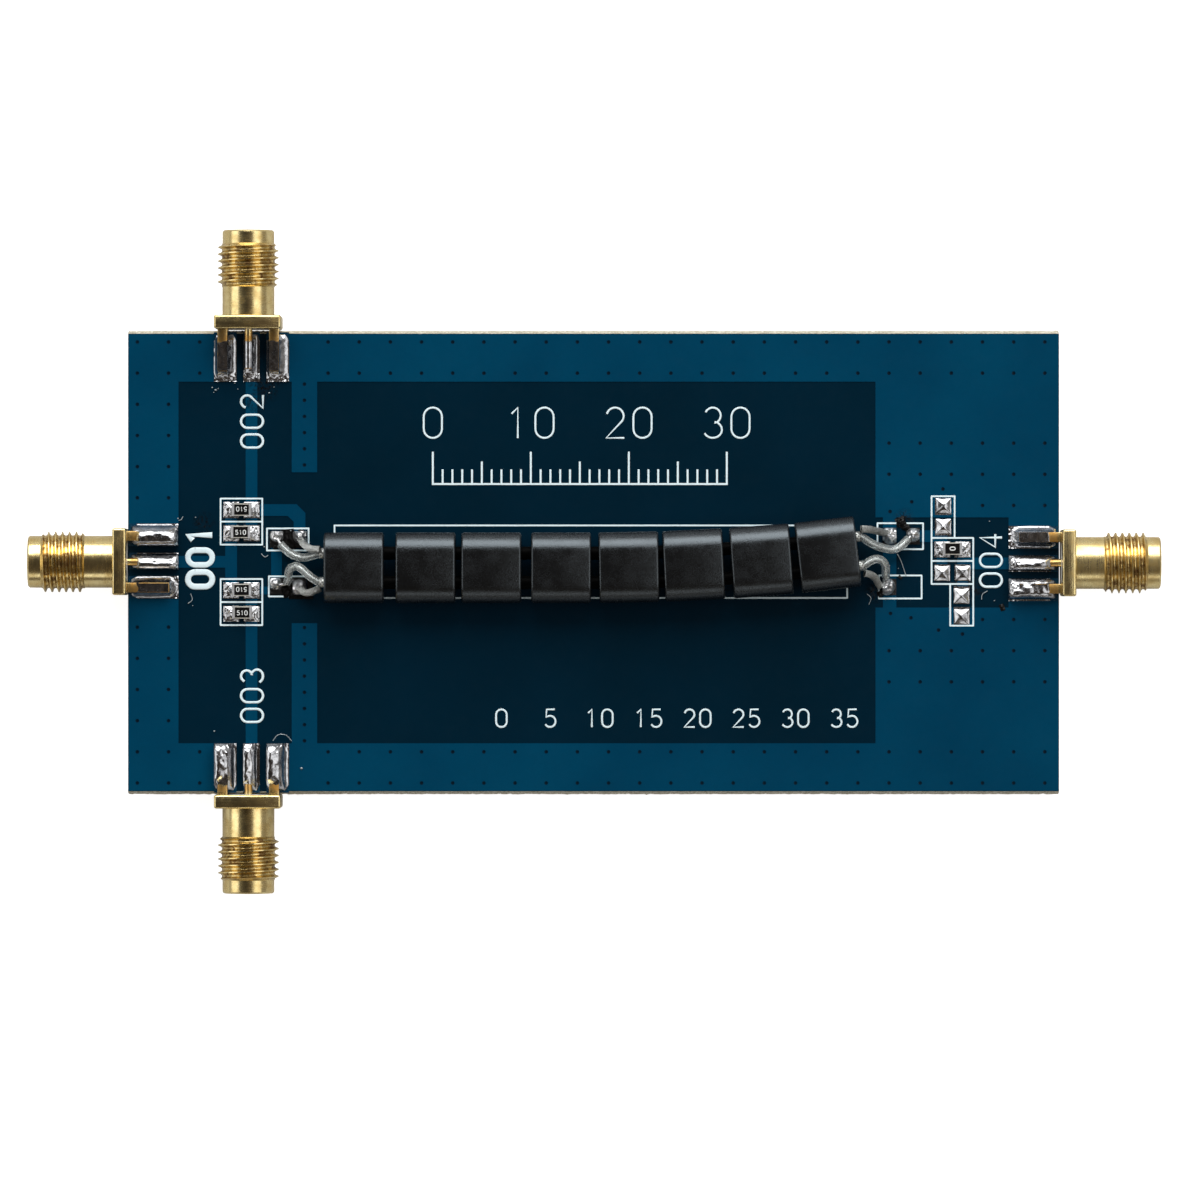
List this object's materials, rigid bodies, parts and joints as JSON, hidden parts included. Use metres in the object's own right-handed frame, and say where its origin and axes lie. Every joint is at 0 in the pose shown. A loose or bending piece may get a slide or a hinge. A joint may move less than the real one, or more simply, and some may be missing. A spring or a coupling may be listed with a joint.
{
  "type": "return loss bridge",
  "caption": "Blue circuit board bridge for measuring return loss, with gold edge-launch coaxial jacks, chip resistors and a balun of ferrite cores on thin coaxial lines.",
  "frame": {"origin": "middle of the footprint, on the plane that the four flanges stand on", "axes": "+X towards the output jack, +Y towards the reference jack, +Z out of the populated face of the board"},
  "size_m": [0.1154, 0.0676, 0.0072],
  "materials": {
    "laminate": "matt woven glass and resin, rough and pale along the broken edges",
    "lacquer": "smooth translucent blue lacquer over copper",
    "lacquer_below": "smooth translucent blue lacquer over copper",
    "ink": "matt white print",
    "tinned_pad": "bright hot-levelled tin",
    "gold_plate": "smooth gold plating with fine turning marks",
    "white_insulator": "waxy white",
    "solder": "bright hand-made solder",
    "ferrite": "dark, slightly glossy sintered ferrite",
    "cable_jacket": "smooth black jacket",
    "braid": "fine woven tinned wire",
    "dielectric": "clear smooth film",
    "plated_wire": "bright plated wire",
    "chip_ceramic": "matt white ceramic",
    "tinned_cap": "bright tin plating",
    "chip_coat": "black glaze"
  },
  "bodies": {
    "root": {"laminate": "laminate", "top_copper": "lacquer", "bottom_copper": "lacquer_below", "silkscreen": "ink", "top_pads": "tinned_pad", "bottom_pads": "tinned_pad", "input_jack_body": "gold_plate", "input_jack_insulator": "white_insulator", "input_jack_contact": "gold_plate", "input_jack_solder": "solder", "reference_jack_body": "gold_plate", "reference_jack_insulator": "white_insulator", "reference_jack_contact": "gold_plate", "reference_jack_solder": "solder", "device_jack_body": "gold_plate", "device_jack_insulator": "white_insulator", "device_jack_contact": "gold_plate", "device_jack_solder": "solder", "output_jack_body": "gold_plate", "output_jack_insulator": "white_insulator", "output_jack_contact": "gold_plate", "output_jack_solder": "solder", "ferrite_core_1": "ferrite", "ferrite_core_2": "ferrite", "ferrite_core_3": "ferrite", "ferrite_core_4": "ferrite", "ferrite_core_5": "ferrite", "ferrite_core_6": "ferrite", "ferrite_core_7": "ferrite", "ferrite_core_8": "ferrite", "upper_jacket": "cable_jacket", "upper_braid": "braid", "upper_dielectric": "dielectric", "upper_conductor": "plated_wire", "lower_jacket": "cable_jacket", "lower_braid": "braid", "lower_dielectric": "dielectric", "lower_conductor": "plated_wire", "left_wire_solder": "solder", "right_wire_solder": "solder", "resistor_1_ceramic": "chip_ceramic", "resistor_1_caps": "tinned_cap", "resistor_2_ceramic": "chip_ceramic", "resistor_2_caps": "tinned_cap", "resistor_3_ceramic": "chip_ceramic", "resistor_3_caps": "tinned_cap", "resistor_4_ceramic": "chip_ceramic", "resistor_4_caps": "tinned_cap", "link_ceramic": "chip_ceramic", "link_caps": "tinned_cap", "chip_coats": "chip_coat", "chip_solder": "solder", "spare_pad_solder": "solder"}
  },
  "joints": []
}
